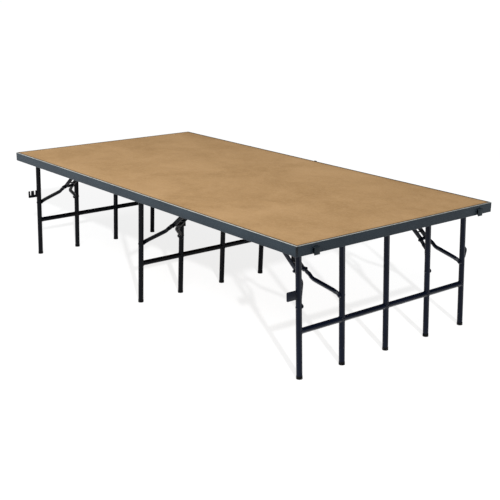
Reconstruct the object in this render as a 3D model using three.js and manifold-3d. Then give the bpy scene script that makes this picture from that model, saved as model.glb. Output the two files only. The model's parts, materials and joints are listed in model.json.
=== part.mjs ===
// Folding stage riser platform: a 4 ft by 8 ft deck in a steel edge frame on three fold-down leg
// frames. Each leg frame has five round legs, a crossbar and two wishbone braces with a knuckle.
// Millimetres, +Z up. Origin: on the floor, under the middle of the overall footprint, hooks and clip
// included. +X runs along the deck to the near end, +Y across it to the back long side.
// Everything is drawn about the middle of the deck and moved to the origin at the end.

import * as THREE from 'three';
import { mergeVertices } from 'three/addons/utils/BufferGeometryUtils.js';
import Module from 'manifold-3d';

const wasm = await Module();
wasm.setup();

// ---------------------------------------------------------------- driving dimensions
const IN = 25.4;
const LENGTH = 96 * IN;             // deck length, X
const WIDTH = 48 * IN;              // deck width, Y
const HEIGHT = 24 * IN;             // floor to top of the edge frame
const HALF_X = LENGTH / 2;
const HALF_Y = WIDTH / 2;
const GAP = 0.3;                    // free gap between resting pieces

const RAIL_H = 1.85 * IN;           // edge frame face height
const RAIL_T = 2.5;                 // edge frame steel
const LIP = 7;                      // width of the edge frame's top lip
const FLANGE = 22;                  // width of its bottom flange

const BOARD_DROP = 0.4;             // top sheet below the top of the edge frame
const BOARD_T = 6;                  // hardboard top sheet
const CORE_T = 15;                  // plywood core below it
const BOARD_TOP = HEIGHT - BOARD_DROP;
const BOARD_LOW = BOARD_TOP - BOARD_T;
const CORE_TOP = BOARD_LOW - GAP;
const CORE_LOW = CORE_TOP - CORE_T;
const UNDER_CORE = CORE_LOW - GAP;  // top of the steel mounted under the core

// Leg frames: hinge line, and the way along X the feet swing when the frame folds
const FRAMES = [
  { id: 'far', x: -44.5 * IN, fold: 1 },
  { id: 'mid', x: -1.5 * IN, fold: 1 },
  { id: 'near', x: 44.5 * IN, fold: -1 },
];
const SPLAY = Math.atan(1 / 22.15); // legs stand a little past square, away from the fold
const HINGE_Z = 21.9 * IN;          // leg frame hinge axis
const FOOT_RUN = HINGE_Z * Math.tan(SPLAY);           // X from hinge line to foot, at the floor
const LEG_Y = [-20.5 * IN, -10.75 * IN, 0, 10.75 * IN, 20.5 * IN];
const LEG_R = 12.7;                 // 1 in tube
const TOP_R = 13.4;                 // hinge tube the legs are welded to
const ARM_PIVOT_Z = 12.4 * IN;      // brace pivot on the legs

// Legs that share a brace; inward is the Y direction from a leg to the middle of its pair
const LEG_PAIRS = [['front', 0, 1], ['back', 3, 4]].map(([name, first, second]) => ({
  name,
  middle: (LEG_Y[first] + LEG_Y[second]) / 2,
  sides: [
    { letter: 'a', legY: LEG_Y[first], inward: 1 },
    { letter: 'b', legY: LEG_Y[second], inward: -1 },
  ],
}));

// ---------------------------------------------------------------- materials
const standard = (settings) => new THREE.MeshStandardMaterial(settings);
const steel = standard({ color: 0x3a4852, roughness: 0.5, metalness: 0.3 });
const legSteel = standard({ color: 0x161c22, roughness: 0.45, metalness: 0.35 });
const hardboard = standard({ color: 0xb29268, roughness: 0.7, metalness: 0.0 });
const plywood = standard({ color: 0xa88a60, roughness: 0.85, metalness: 0.0 });
const footPlastic = standard({ color: 0x0b0c0e, roughness: 0.75, metalness: 0.0 });

// ---------------------------------------------------------------- solid helpers
function solid(geometry) {
  const bare = geometry.clone();
  bare.deleteAttribute('normal');
  bare.deleteAttribute('uv');
  const merged = mergeVertices(bare, 1e-4);
  return new wasm.Manifold(new wasm.Mesh({
    numProp: 3,
    vertProperties: new Float32Array(merged.attributes.position.array),
    triVerts: new Uint32Array(merged.index.array),
  }));
}

function toGeometry(manifold) {
  const mesh = manifold.getMesh();
  const geometry = new THREE.BufferGeometry();
  const positions = new Float32Array(mesh.vertProperties);
  geometry.setAttribute('position', new THREE.BufferAttribute(positions, 3));
  geometry.setIndex(new THREE.BufferAttribute(new Uint32Array(mesh.triVerts), 1));
  return geometry;
}

const join = (solids) => solids.reduce((sum, next) => sum.add(next));
const vectors = (points) => points.map(([a, b]) => new THREE.Vector2(a, b));
const extrude = (points, options) =>
  new THREE.ExtrudeGeometry(new THREE.Shape(vectors(points)), { bevelEnabled: false, ...options });

// Box from its [low, high] range on each axis.
function boxGeometry([x0, x1], [y0, y1], [z0, z1]) {
  return new THREE.BoxGeometry(x1 - x0, y1 - y0, z1 - z0)
    .translate((x0 + x1) / 2, (y0 + y1) / 2, (z0 + z1) / 2);
}
const box = (...ranges) => solid(boxGeometry(...ranges));

// Range of a given half width about a middle.
const around = (middle, half) => [middle - half, middle + half];

// Round bar between two points.
function rod(start, end, radius, segments) {
  const from = new THREE.Vector3(...start);
  const to = new THREE.Vector3(...end);
  const span = to.clone().sub(from);
  const middle = from.clone().add(to).multiplyScalar(0.5);
  const geometry = new THREE.CylinderGeometry(radius, radius, span.length(), segments);
  const turn = new THREE.Quaternion()
    .setFromUnitVectors(new THREE.Vector3(0, 1, 0), span.normalize());
  geometry.applyQuaternion(turn);
  geometry.translate(middle.x, middle.y, middle.z);
  return solid(geometry);
}

// Round bar along Y through the side-view point [x, z].
const crossRod = ([x, z], y0, y1, radius, segments) =>
  rod([x, y0, z], [x, y1, z], radius, segments);

// Flat bar with rounded ends, upright in XZ, between the end centres [x, z]; y0 and y1 in any order.
function strap([x0, z0], [x1, z1], halfWidth, y0, y1, arcSteps = 4) {
  const length = Math.hypot(x1 - x0, z1 - z0);
  const dirX = (x1 - x0) / length;
  const dirZ = (z1 - z0) / length;
  const outline = [];
  for (const [centre, startAngle] of [[length, -Math.PI / 2], [0, Math.PI / 2]]) {
    for (let i = 0; i <= arcSteps; i++) {
      const angle = startAngle + Math.PI * i / arcSteps;
      const along = centre + Math.cos(angle) * halfWidth;
      const across = Math.sin(angle) * halfWidth;
      // drawn in (x, -z) so that the extrusion ends up along +Y
      outline.push([x0 + along * dirX - across * dirZ, -(z0 + along * dirZ + across * dirX)]);
    }
  }
  const geometry = extrude(outline, { depth: Math.abs(y1 - y0) });
  geometry.rotateX(-Math.PI / 2);
  geometry.translate(0, Math.min(y0, y1), 0);
  return solid(geometry);
}

// Outline of [y, z] points extruded along X, centred on x = 0, and moved by (y, z).
function bar(outline, length, y, z) {
  const geometry = extrude(outline, { depth: length });
  geometry.applyMatrix4(new THREE.Matrix4().set(
    0, 0, 1, -length / 2,
    1, 0, 0, y,
    0, 1, 0, z,
    0, 0, 0, 1,
  ));
  return solid(geometry);
}

function put(parent, name, geometry, material) {
  const mesh = new THREE.Mesh(geometry, material);
  mesh.name = name;
  parent.add(mesh);
}

const group = new THREE.Group();
const deck = new THREE.Group();
group.add(deck);

// ---------------------------------------------------------------- deck sheets
function deckSheet(inset, low, top) {
  return boxGeometry(around(0, HALF_X - inset), around(0, HALF_Y - inset), [low, top]);
}
put(deck, 'deck_board', deckSheet(LIP + GAP, BOARD_LOW, BOARD_TOP), hardboard);
put(deck, 'deck_core', deckSheet(RAIL_T + GAP, CORE_LOW, CORE_TOP), plywood);

// ---------------------------------------------------------------- edge rails
const RAIL_LOW = HEIGHT - RAIL_H;
const LOW_CHAMFER = 0.6;
const TOP_CHAMFER = 1.2;
const MITRE_SHIFT = 0.11;           // mitre cut moved inward along the rail and outward across it

// Channel section: [distance in from the outer face, z]
const RAIL_SECTION = [
  [0, RAIL_LOW + LOW_CHAMFER], [LOW_CHAMFER, RAIL_LOW],
  [FLANGE, RAIL_LOW], [FLANGE, RAIL_LOW + RAIL_T],
  [RAIL_T, RAIL_LOW + RAIL_T], [RAIL_T, HEIGHT - RAIL_T],
  [LIP, HEIGHT - RAIL_T], [LIP, HEIGHT],
  [TOP_CHAMFER, HEIGHT], [0, HEIGHT - TOP_CHAMFER],
];

// Rail mitred at both ends, drawn with its web towards -Y, then turned onto its side of the deck.
function rail(halfLength, offset, turn) {
  let channel = bar(RAIL_SECTION, 2 * halfLength, -offset, 0);
  for (const side of [-1, 1]) {
    const cut = boxGeometry([0, 400], around(0, 100), around(0, 100));
    cut.rotateZ(side > 0 ? Math.PI / 4 : 3 * Math.PI / 4);
    cut.translate(side * (halfLength - MITRE_SHIFT), -offset - MITRE_SHIFT, HEIGHT - RAIL_H / 2);
    channel = channel.subtract(solid(cut));
  }
  return toGeometry(channel).rotateZ(turn);
}
put(deck, 'rail_front', rail(HALF_X, HALF_Y, 0), steel);
put(deck, 'rail_near', rail(HALF_Y, HALF_X, Math.PI / 2), steel);
put(deck, 'rail_back', rail(HALF_X, HALF_Y, Math.PI), steel);
put(deck, 'rail_far', rail(HALF_Y, HALF_X, -Math.PI / 2), steel);

// ---------------------------------------------------------------- hooks and clip
const HOOK_T = 3;                   // steel of the hooks and the clip
const HOOK_REACH = 10.5;            // hooks past the near end
const CLIP_REACH = 9;               // clip past the back side

// Hook on the near end rail, for joining the next platform: a plate, a shelf and a hanging lip.
function hook(y) {
  const yRange = around(y, 15);
  const top = HEIGHT - 17;
  const tip = HALF_X + HOOK_REACH;
  return toGeometry(join([
    box([HALF_X + GAP, HALF_X + GAP + HOOK_T], yRange, [HEIGHT - 30, top]),
    box([HALF_X + HOOK_T, tip], yRange, [top - 4, top]),
    box([tip - HOOK_T, tip], yRange, [HEIGHT - 51, top]),
  ]));
}

// L-shaped clip on the back rail.
function clip() {
  const xRange = [-4, 14];
  const face = HALF_Y + GAP;
  const low = HEIGHT - 22;
  return toGeometry(join([
    box(xRange, [face, face + HOOK_T], [low, HEIGHT + 2]),
    box(xRange, [face, HALF_Y + CLIP_REACH], [low, low + HOOK_T]),
  ]));
}
put(deck, 'end_hook_front', hook(-20 * IN), steel);
put(deck, 'end_hook_back', hook(20.4 * IN), steel);
put(deck, 'edge_clip_back', clip(), steel);

// ---------------------------------------------------------------- hinge beams
const BEAM_HALF = 30;               // half width, X
const BEAM_T = 2.5;
const BEAM_END = HALF_Y - RAIL_T - 1;
const BEAM_LOW = HINGE_Z + TOP_R + 2.4;
const EAR_Y = 545.2;                // inner face of the end ears
const EAR_T = 5;
const EAR_R = 16;
const SADDLE_Y = 236;
const SADDLE_R = 15;                // rounded top of the saddle's notch
const SADDLE_SLOT = 14.6;           // half width of the notch below the hinge axis

// Plate over the hinge tube, notched from below.
function saddle(x, y) {
  return box(around(x, 20), around(y, 2.5), [HINGE_Z - 4, UNDER_CORE - 1])
    .subtract(crossRod([x, HINGE_Z], y - 5, y + 5, SADDLE_R, 10))
    .subtract(box(around(x, SADDLE_SLOT), around(y, 5), [HINGE_Z - 8, HINGE_Z]));
}

// Channel under the core, open downward. Its two end pins carry a leg frame's hinge tube.
function hingeBeam(x) {
  const yRange = around(0, BEAM_END);
  const [left, right] = around(x, BEAM_HALF);
  const parts = [
    box([left, right], yRange, [UNDER_CORE - BEAM_T, UNDER_CORE]),
    box([left, left + BEAM_T], yRange, [BEAM_LOW, UNDER_CORE]),
    box([right - BEAM_T, right], yRange, [BEAM_LOW, UNDER_CORE]),
  ];
  for (const side of [-1, 1]) {
    const axis = [x, HINGE_Z];
    parts.push(
      strap(axis, [x, UNDER_CORE - EAR_R], EAR_R, side * EAR_Y, side * (EAR_Y + EAR_T)),
      crossRod(axis, side * (EAR_Y + 2), side * (EAR_Y - 22), 9.4, 10),
      saddle(x, side * SADDLE_Y),
    );
  }
  return toGeometry(join(parts));
}
for (const { id, x } of FRAMES) put(deck, `hinge_beam_${id}`, hingeBeam(x), steel);

// ---------------------------------------------------------------- leg frames
// Each frame is drawn square, hanging from its hinge axis, in a holder that gives it its splay.
const downLeg = (z) => -(HINGE_Z - z) / Math.cos(SPLAY);    // height above floor to frame's own z

const LEG_BORE = 10.9;
const TOP_BORE = 10.7;
const TOP_END = 543.6;              // half length of the hinge tube
const BAR_R = 12.4;                 // crossbar
const BAR_BORE = 10.6;
const BAR_Z = 8.2 * IN;             // crossbar height above the floor
const FOOT_R = 14.6;
const FOOT_H = 20;
const FOOT_FLOOR = 6.2;             // thickness under the leg, before the flat cut
const FOOT_GAP = 0.6;               // free gap between leg and foot
const FOOT_LOW = downLeg(0) - 0.9;  // drawn a little past the floor, then cut flat
const LEG_END = FOOT_LOW + FOOT_FLOOR + FOOT_GAP;

// Brace pivot pin, riveted through the leg: [start, end, radius], measured inward from the leg axis
const PIVOT_PIN = [
  [-(LEG_R + 1.5), 21.6, 4.2],              // shank
  [-(LEG_R - 1.5), -(LEG_R + 2.4), 7],      // low head outside
  [18.9, 22.4, 7],                          // head over the arm's tab inside
];

// Foot section: [radius, height]
const FOOT_SECTION = [
  [0, 0], [FOOT_R, 0], [FOOT_R, FOOT_H],
  [LEG_R + FOOT_GAP, FOOT_H], [LEG_R + FOOT_GAP, FOOT_FLOOR], [0, FOOT_FLOOR],
];

// Hinge tube, crossbar and legs as one hollow weldment, with the brace pivot pins.
function legWeldment() {
  const top = [0, 0];
  const crossbar = [0, downLeg(BAR_Z)];
  const outer = [
    crossRod(top, -TOP_END, TOP_END, TOP_R, 12),
    crossRod(crossbar, LEG_Y[0], LEG_Y[4], BAR_R, 10),
  ];
  const bores = [
    crossRod(top, -TOP_END - 1, TOP_END + 1, TOP_BORE, 12),
    crossRod(crossbar, LEG_Y[0], LEG_Y[4], BAR_BORE, 6),
  ];
  for (const y of LEG_Y) {
    outer.push(rod([0, y, 0], [0, y, LEG_END], LEG_R, 12));
    bores.push(rod([0, y, -6], [0, y, LEG_END - 1], LEG_BORE, 6));
  }
  let weldment = join(outer).subtract(join(bores));
  const pivot = [0, downLeg(ARM_PIVOT_Z)];
  for (const { legY, inward } of LEG_PAIRS.flatMap((pair) => pair.sides)) {
    for (const [start, end, radius] of PIVOT_PIN) {
      const part = crossRod(pivot, legY + inward * start, legY + inward * end, radius, 8);
      weldment = weldment.add(part);
    }
  }
  return toGeometry(weldment);
}

// Plastic foot tip, cut flat on the floor.
function foot(frame, y, toLocal) {
  const cup = new THREE.LatheGeometry(vectors(FOOT_SECTION), 12);
  cup.rotateX(Math.PI / 2);
  cup.translate(0, y, FOOT_LOW);
  const footX = frame.x - frame.fold * FOOT_RUN;
  const below = boxGeometry(around(footX, 50), around(y, 50), [-100, 0]);
  below.applyMatrix4(toLocal);
  return toGeometry(solid(cup).subtract(solid(below)));
}

// Ganging plate in front of the first leg; the slotted one has two slots open at the top.
function gangPlate(slotted) {
  const z = downLeg(14.55 * IN);
  const edge = LEG_Y[0] - LEG_R - GAP;
  let plate = box([-2, 2], [edge - 52, edge], around(z, 20));
  if (slotted) {
    for (const [start, end] of [[42, 36], [17, 9]]) {
      plate = plate.subtract(box([-5, 5], [edge - start, edge - end], [z - 6, z + 25]));
    }
  }
  return toGeometry(plate);
}

// Ganging keeper behind the last leg: [distance from the leg, height] outline.
const KEEPER_OUTLINE = [[0, -27], [4, -27], [14, 4], [14, 14], [3, 27], [0, 27]];
const gangKeeper = () =>
  toGeometry(bar(KEEPER_OUTLINE, 12, LEG_Y[4] + LEG_R + GAP, downLeg(14.2 * IN)));

function addLegFrame(frame) {
  const { id, x, fold } = frame;
  const holder = new THREE.Group();
  holder.position.set(x, 0, HINGE_Z);
  holder.rotation.y = fold * SPLAY;
  holder.updateMatrix();
  group.add(holder);

  put(holder, `leg_frame_${id}`, legWeldment(), legSteel);
  const toLocal = holder.matrix.clone().invert();
  LEG_Y.forEach((y, i) => {
    put(holder, `foot_${id}_${i + 1}`, foot(frame, y, toLocal), footPlastic);
  });
  if (id !== 'mid') {
    put(holder, `gang_plate_${id}`, gangPlate(id === 'far'), legSteel);
    put(holder, `gang_keeper_${id}`, gangKeeper(), legSteel);
  }
}

// ---------------------------------------------------------------- wishbone braces
// Side-view points: [distance from the hinge line in the fold direction, z]
const ARM_PIVOT = [-(HINGE_Z - ARM_PIVOT_Z) * Math.tan(SPLAY), ARM_PIVOT_Z];
const KNUCKLE = [4.823 * IN, 16.485 * IN];
const LINK_PIVOT = [12.3 * IN, 22.3 * IN];

const ARM_R = 9.5;                  // brace arm, 3/4 in tube
const ARM_BEND = 0.69;              // share of the arm's run at which it turns straight
const ARM_Y = 1.05 * IN;            // arm plane, off the middle of its pair of legs
const FLAT_T = 5;                   // flattened end of the arm
const TUBE_OFFSET = 5;              // tube axis outward of the arm plane
const LINK_Y = 0.8 * IN;            // link plane
const LINK_W = 20;
const LINK_T = 4.8;
const PIN_R = 4.5;                  // pin at the top of the link
const PIN_PLAY = 0.8;

// Line between two side-view points of a frame; at(distance) gives [x, z] along it.
function sideLine(frame, [run0, z0], [run1, z1]) {
  const length = Math.hypot(run1 - run0, z1 - z0);
  const dirRun = (run1 - run0) / length;
  const dirZ = (z1 - z0) / length;
  const at = (d) => [frame.x + frame.fold * (run0 + dirRun * d), z0 + dirZ * d];
  return { length, at };
}

// Bent tube through stations of [distance along the arm, y].
function bentTube(at, stations) {
  const points = stations.map(([distance, y]) => {
    const [x, z] = at(distance);
    return new THREE.Vector3(x, y, z);
  });
  const extrudePath = new THREE.CatmullRomCurve3(points, false, 'catmullrom', 0.25);
  const ring = [];
  for (let i = 0; i < 8; i++) {
    const angle = 2 * Math.PI * i / 8;
    ring.push([Math.cos(angle) * ARM_R, Math.sin(angle) * ARM_R]);
  }
  return solid(extrude(ring, { steps: 7, extrudePath }));
}

function braceArm(frame, middle, { legY, inward }) {
  const { length, at } = sideLine(frame, ARM_PIVOT, KNUCKLE);
  const fromLeg = (distance) => legY + inward * distance;
  const armY = middle - inward * ARM_Y;
  const fromArm = (distance) => armY + inward * distance;
  const bend = length * ARM_BEND;

  const tube = bentTube(at, [
    [21, fromLeg(23.2)],
    [36, fromLeg(27)],
    [bend - 12, fromArm(-TUBE_OFFSET - 9.5)],
    [bend + 5, fromArm(-TUBE_OFFSET)],
    [length - 18, fromArm(-TUBE_OFFSET)],
  ]);
  const tab = strap(at(0), at(18), 10, fromLeg(13.1), fromLeg(18.1));
  const flatEnd = strap(at(length - 34), at(length), 10, fromArm(-FLAT_T / 2), fromArm(FLAT_T / 2));
  // round end of the knuckle's pin, outside
  const pinEnd = crossRod(at(length), fromArm(-2), fromArm(-13), 6.5, 8);
  const pivotHole = crossRod(at(0), fromLeg(8), fromLeg(24), 5, 8);
  // room for the links: nothing of the arm past its inner face near the knuckle
  const linkRoom = strap(
    at(length * 0.655), at(length + 14), 14, fromArm(FLAT_T / 2), fromArm(14), 2,
  );
  return toGeometry(join([tube, tab, flatEnd, pinEnd]).subtract(pivotHole).subtract(linkRoom));
}

// Upper link: two straps with a knuckle bar and a thin tie between them.
function braceLink(frame, middle) {
  const { length, at } = sideLine(frame, KNUCKLE, LINK_PIVOT);
  const [low, high] = around(middle, LINK_Y);
  const straps = [low, high].map((y) =>
    strap(at(0), at(length), LINK_W / 2, y - LINK_T / 2, y + LINK_T / 2));
  const knuckleBar = crossRod(at(5), low, high, 7.5, 10);
  const tie = crossRod(at(46), low, high, 3.6, 6);
  const pinHole = crossRod(at(length), middle - 40, middle + 40, PIN_R + PIN_PLAY, 10);
  return toGeometry(join([...straps, knuckleBar, tie]).subtract(pinHole));
}

// Bracket under the deck: a plate, two ears with pin heads, and the link's pin.
function braceBracket(frame, middle) {
  const x = frame.x + frame.fold * LINK_PIVOT[0];
  const pivot = [x, LINK_PIVOT[1]];
  const parts = [box(around(x, 22), around(middle, 36), [UNDER_CORE - 3, UNDER_CORE])];
  for (const side of [-1, 1]) {
    const fromMiddle = (distance) => middle + side * distance;
    parts.push(
      strap(pivot, [x, UNDER_CORE - 12], 10, fromMiddle(24.2), fromMiddle(28.2)),
      crossRod(pivot, fromMiddle(26), fromMiddle(31.5), 7, 8),
    );
  }
  parts.push(crossRod(pivot, middle - 27, middle + 27, PIN_R, 10));
  return toGeometry(join(parts));
}

function addBrace(frame, { name, middle, sides }) {
  const suffix = `${frame.id}_${name}`;
  for (const side of sides) {
    put(group, `brace_arm_${suffix}_${side.letter}`, braceArm(frame, middle, side), legSteel);
  }
  put(group, `brace_link_${suffix}`, braceLink(frame, middle), legSteel);
  put(deck, `brace_bracket_${suffix}`, braceBracket(frame, middle), steel);
}

for (const frame of FRAMES) {
  addLegFrame(frame);
  for (const pair of LEG_PAIRS) addBrace(frame, pair);
}

// centre the overall footprint, hooks and clip included
group.position.set(-HOOK_REACH / 2, -CLIP_REACH / 2, 0);

export default group;
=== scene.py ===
"""A low folding platform: a 96 x 48 inch deck, 24 inches high, on three frames of five legs.

X runs along the deck from the far end to the near end, Y from the front to the back, Z up from
the floor. Shells are pairs (verts, faces) in mm about the middle of the deck, and piece() puts
them into the shared frame in metres. The far and mid frames face +X, the near one faces -X.
"""

import json
import math
import random

import bpy
from mathutils import Matrix, Vector


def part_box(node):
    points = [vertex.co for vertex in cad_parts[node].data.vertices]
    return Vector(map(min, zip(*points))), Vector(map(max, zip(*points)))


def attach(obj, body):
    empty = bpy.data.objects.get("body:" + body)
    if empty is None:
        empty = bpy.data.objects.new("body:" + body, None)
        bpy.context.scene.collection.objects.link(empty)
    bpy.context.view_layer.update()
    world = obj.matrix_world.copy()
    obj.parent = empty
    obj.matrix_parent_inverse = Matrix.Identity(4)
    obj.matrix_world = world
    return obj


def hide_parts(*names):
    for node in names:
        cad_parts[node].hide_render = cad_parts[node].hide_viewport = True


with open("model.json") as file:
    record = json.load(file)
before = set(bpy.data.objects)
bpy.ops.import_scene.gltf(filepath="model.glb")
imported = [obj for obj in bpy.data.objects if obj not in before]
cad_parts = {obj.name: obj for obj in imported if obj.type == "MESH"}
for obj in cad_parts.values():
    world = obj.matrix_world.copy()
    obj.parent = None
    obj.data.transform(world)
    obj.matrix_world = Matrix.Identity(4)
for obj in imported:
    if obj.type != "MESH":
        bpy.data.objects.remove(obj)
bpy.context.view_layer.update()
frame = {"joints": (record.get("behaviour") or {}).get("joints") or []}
scene = bpy.context.scene

# ------------------------------------------------------------------ dimensions (mm)
INCH = 25.4
FACING = {"far": 1, "mid": 1, "near": -1}         # which way along X each frame's braces lie
joints = {j["name"]: j for j in frame["joints"]}
FOLD = {f: Vector(joints[f + "_leg_fold"]["pos_m"]) * 1000 for f in FACING}
MIDDLE_X = FOLD["far"].x + 44.5 * INCH            # middle of the deck in the shared frame
MIDDLE_Y = FOLD["far"].y
HINGE_Z = FOLD["far"].z

# deck
HALF_LENGTH, HALF_WIDTH, DECK_TOP = 48 * INCH, 24 * INCH, 24 * INCH
RAIL_HEIGHT, RAIL_WALL, RAIL_LIP, RAIL_FLANGE = 46.99, 2.5, 7.0, 22.0
board_box, core_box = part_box("deck_board"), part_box("deck_core")
BOARD_LOW, BOARD_TOP = board_box[0].z * 1000, board_box[1].z * 1000
CORE_LOW, CORE_TOP = core_box[0].z * 1000, core_box[1].z * 1000
MOUNT_Z = CORE_LOW - 0.3                          # top of what is fixed under the core

# legs
LEG_Y = [k * INCH for k in (-20.5, -10.75, 0.0, 10.75, 20.5)]
SPLAY = math.atan(1.0 / 22.15)
LEG_R, BAR_R = 13.2, 12.9
HINGE_R, HINGE_BORE_R, HINGE_END = 13.4, 10.7, 543.6
LEG_LENGTH = HINGE_Z / math.cos(SPLAY)
FOOT_R, FOOT_SOLE = 14.0, 0.9                     # the sole is the foot's part below the leg line


def leg_z(height):
    """Place down the leg, from the hinge, of a height above the floor."""
    return (height - HINGE_Z) / math.cos(SPLAY)


# braces: u is the distance from the hinge axis, the way the frame faces
PIN_HEIGHT = 12.4 * INCH
BAR_Z, PIN_Z = leg_z(8.2 * INCH), leg_z(PIN_HEIGHT)
PIN_U = -(HINGE_Z - PIN_HEIGHT) * math.tan(SPLAY)
KNUCKLE_U, KNUCKLE_Z = 4.823 * INCH, 16.485 * INCH
BRACKET_U, BRACKET_Z = 12.3 * INCH, 22.3 * INCH
ARM_LENGTH = math.hypot(KNUCKLE_U - PIN_U, KNUCKLE_Z - PIN_HEIGHT)
LINK_LENGTH = math.hypot(BRACKET_U - KNUCKLE_U, BRACKET_Z - KNUCKLE_Z)
ARM_DIR = Vector(((KNUCKLE_U - PIN_U) / ARM_LENGTH, 0, (KNUCKLE_Z - PIN_HEIGHT) / ARM_LENGTH))
LINK_DIR = Vector(((BRACKET_U - KNUCKLE_U) / LINK_LENGTH, 0,
                   (BRACKET_Z - KNUCKLE_Z) / LINK_LENGTH))
PAIR_Y = {"front": -15.625 * INCH, "back": 15.625 * INCH}
PAIR_LEG_Y = LEG_Y[0] - PAIR_Y["front"]           # first leg of a pair, off the pair's middle
KNUCKLE_Y = -1.05 * INCH                          # plane of that leg's arm at the knuckle
PINNED_LEGS = ((0, 1), (1, -1), (3, 1), (4, -1))  # leg, Y side that its brace arm is on


# ------------------------------------------------------------------ placing flat outlines
def on_xy(a, b, depth):
    return Vector((a, b, depth))


def on_xz(a, b, depth):
    return Vector((a, depth, b))


def on_yz(a, b, depth):
    return Vector((depth, a, b))


# ------------------------------------------------------------------ 2D outlines
def square_to(direction):
    """2D direction turned a quarter turn counter-clockwise."""
    return Vector((-direction.y, direction.x))


def corner_arc(before, corner, after, radius, seg):
    """Centre and angles of the arc that rounds a corner."""
    corner = Vector(corner)
    a = (Vector(before) - corner).normalized()
    b = (Vector(after) - corner).normalized()
    half = math.acos(a.dot(b)) / 2
    reach = radius / math.tan(half)
    centre = corner + (a + b).normalized() * (radius / math.sin(half))
    start, end = corner + a * reach - centre, corner + b * reach - centre
    first = math.atan2(start.y, start.x)
    sweep = math.atan2(end.y, end.x) - first
    if sweep > math.pi:
        sweep -= 2 * math.pi
    elif sweep < -math.pi:
        sweep += 2 * math.pi
    return centre, [first + sweep * k / seg for k in range(seg + 1)]


def rounded(points, radii, seg=4):
    """Polygon with its corners rounded, by one radius or a list of them; 0 stays sharp."""
    if not isinstance(radii, list):
        radii = [radii] * len(points)
    out = []
    for i, (point, r) in enumerate(zip(points, radii)):
        if r <= 0:
            out.append(tuple(Vector(point)))
            continue
        after = points[(i + 1) % len(points)]
        centre, angles = corner_arc(points[i - 1], point, after, r, seg)
        out += [(centre.x + r * math.cos(q), centre.y + r * math.sin(q)) for q in angles]
    return out


def inset(poly, distance):
    """Counter-clockwise polygon moved inwards."""
    out = []
    for i, point in enumerate(poly):
        p, before, after = Vector(point), Vector(poly[i - 1]), Vector(poly[(i + 1) % len(poly)])
        n1 = square_to((p - before).normalized())
        n2 = square_to((after - p).normalized())
        q = p + (n1 + n2) * (distance / max(0.25, 1 + n1.dot(n2)))
        out.append((q.x, q.y))
    return out


def counter_clockwise(poly):
    area = sum(poly[i - 1][0] * poly[i][1] - poly[i][0] * poly[i - 1][1]
               for i in range(len(poly)))
    return poly if area > 0 else list(reversed(poly))


def strap_outline(p0, p1, half_width, seg):
    """Bar from p0 to p1 with round ends about both points."""
    p0, p1 = Vector(p0), Vector(p1)
    along = (p1 - p0).normalized()
    across = square_to(along)
    out = []
    for centre, start in (((p1 - p0).length, -math.pi / 2), (0, math.pi / 2)):
        for k in range(seg + 1):
            turn = start + math.pi * k / seg
            p = (p0 + along * (centre + math.cos(turn) * half_width)
                 + across * (math.sin(turn) * half_width))
            out.append((p.x, p.y))
    return out


def bent_strip(path, thick, radius, seg=5):
    """Outline of a bent flat strip: path is its middle line, corners bent to radius."""
    path = [Vector(p) for p in path]
    directions = [(b - a).normalized() for a, b in zip(path, path[1:])]
    left, right = [], []                 # (point, corner radius)
    for i, p in enumerate(path):
        e1, e2 = directions[max(0, i - 1)], directions[min(i, len(directions) - 1)]
        n1, n2 = square_to(e1), square_to(e2)
        offset = (n1 + n2) / (1 + n1.dot(n2)) * thick / 2
        r_left = r_right = 0.5
        if 0 < i < len(path) - 1:
            bend = math.copysign(thick / 2, e1.x * e2.y - e1.y * e2.x)
            r_left, r_right = radius - bend, radius + bend
        left.append((tuple(p + offset), r_left))
        right.append((tuple(p - offset), r_right))
    outline = left + list(reversed(right))
    return counter_clockwise(rounded([p for p, r in outline], [r for p, r in outline], seg))


# ------------------------------------------------------------------ shells
def outward(verts, faces):
    """Turns the faces to point out, from the signed volume."""
    centre = sum(verts, Vector()) / len(verts)
    volume = 0.0
    for f in faces:
        corner = verts[f[0]] - centre
        for k in range(1, len(f) - 1):
            volume += corner.dot((verts[f[k]] - centre).cross(verts[f[k + 1]] - centre))
    if volume < 0:
        faces = [tuple(reversed(f)) for f in faces]
    return verts, faces


def loft(rings):
    """Rings of equal size joined by quads and capped at both ends."""
    size = len(rings[0])
    verts = [Vector(p) for ring in rings for p in ring]
    faces = []
    for a in range(0, len(verts) - size, size):
        b = a + size
        for k in range(size):
            k2 = (k + 1) % size
            faces.append((a + k, a + k2, b + k2, b + k))
    faces.append(tuple(reversed(range(size))))
    faces.append(tuple(range(len(verts) - size, len(verts))))
    return outward(verts, faces)


def basis(axis):
    z = Vector(axis).normalized()
    x = Vector((1, 0, 0)) if abs(z.x) < 0.7 else Vector((0, 0, 1))
    x = (x - z * x.dot(z)).normalized()
    return x, z.cross(x), z


def lathe(origin, axis, profile, sides=32):
    """Turned solid; profile is a list of (distance along the axis, radius)."""
    origin = Vector(origin)
    x, y, z = basis(axis)
    verts, faces, last = [], [], None
    for distance, radius in profile:
        centre = origin + z * distance
        if radius < 1e-6:
            ring = [len(verts)]
            verts.append(centre)
        else:
            ring = list(range(len(verts), len(verts) + sides))
            for k in range(sides):
                t = 2 * math.pi * k / sides
                verts.append(centre + (x * math.cos(t) + y * math.sin(t)) * radius)
        if last is not None:
            for k in range(sides):
                k2 = (k + 1) % sides
                quad = (last[k % len(last)], ring[k % len(ring)],
                        ring[k2 % len(ring)], last[k2 % len(last)])
                # a ring of one point on the axis makes this a triangle
                faces.append(tuple(dict.fromkeys(quad)))
        elif len(ring) > 1:
            faces.append(tuple(ring))
        last = ring
    if len(last) > 1:
        faces.append(tuple(reversed(last)))
    return outward(verts, faces)


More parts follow.
